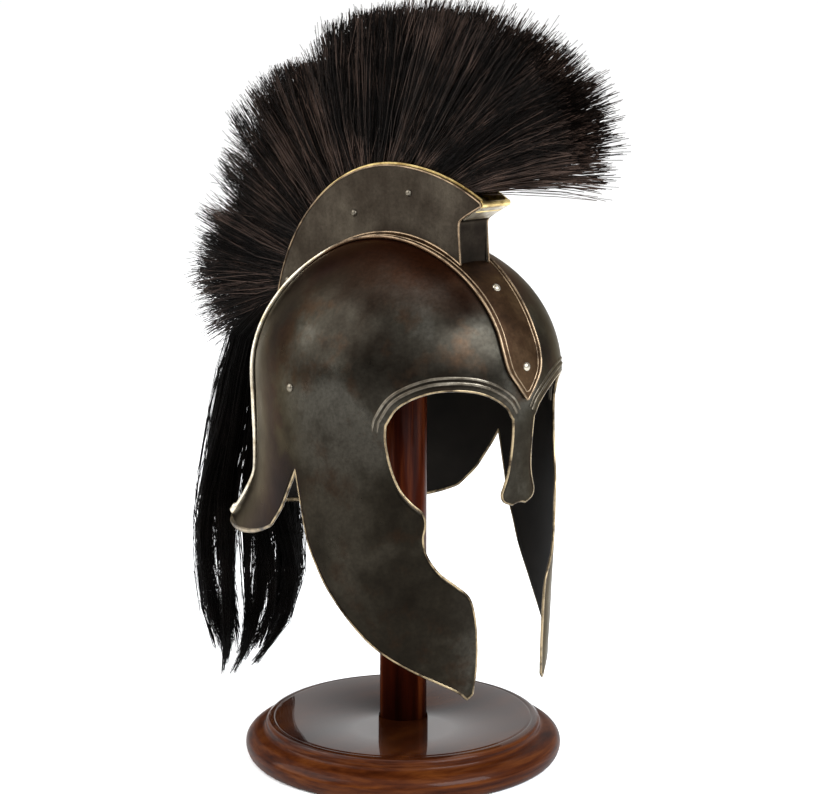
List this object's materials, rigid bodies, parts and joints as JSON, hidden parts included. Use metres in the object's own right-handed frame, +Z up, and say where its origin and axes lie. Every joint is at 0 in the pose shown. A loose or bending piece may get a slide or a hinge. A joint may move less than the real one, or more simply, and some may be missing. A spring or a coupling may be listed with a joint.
{
  "type": "greek bronze helmet on a wooden stand",
  "caption": "Ancient Greek style bronze helmet with nasal, curved cheek guards, flared neck guard and an upright horsehair crest with a tail, held on a round wooden stand.",
  "frame": {"origin": "middle of the stand's flat underside, on the post's axis", "axes": "+Z up along the post, -Y the way the helmet's face looks, +X to the wearer's left"},
  "size_m": [0.216, 0.3825, 0.5068],
  "materials": {
    "bronze": "dark brown-grey patina on hammered bronze, satin, with worn light edges",
    "band_bronze": "warm brown patina, satin, with light beaded edges",
    "box_bronze": "flat grey-brown patina with tan edges",
    "brass_trim": "worn bare brass",
    "horsehair": "coarse black horsehair",
    "mahogany": "dark red-brown wood under high-gloss lacquer"
  },
  "bodies": {
    "root": {"stand_base": "mahogany", "stand_post": "mahogany", "post_cap": "mahogany", "helmet_shell": "bronze", "comb_band": "band_bronze", "crest_box": "box_bronze", "crest_lining": "brass_trim", "plume_crest": "horsehair", "plume_tail": "horsehair", "band_rivet_low": "brass_trim", "band_rivet_high": "brass_trim", "box_rivet_top_right": "brass_trim", "box_rivet_middle_right": "brass_trim", "box_rivet_back_right": "brass_trim", "bowl_rivet_right": "brass_trim", "box_rivet_top_left": "brass_trim", "box_rivet_middle_left": "brass_trim", "box_rivet_back_left": "brass_trim", "bowl_rivet_left": "brass_trim"}
  },
  "joints": []
}
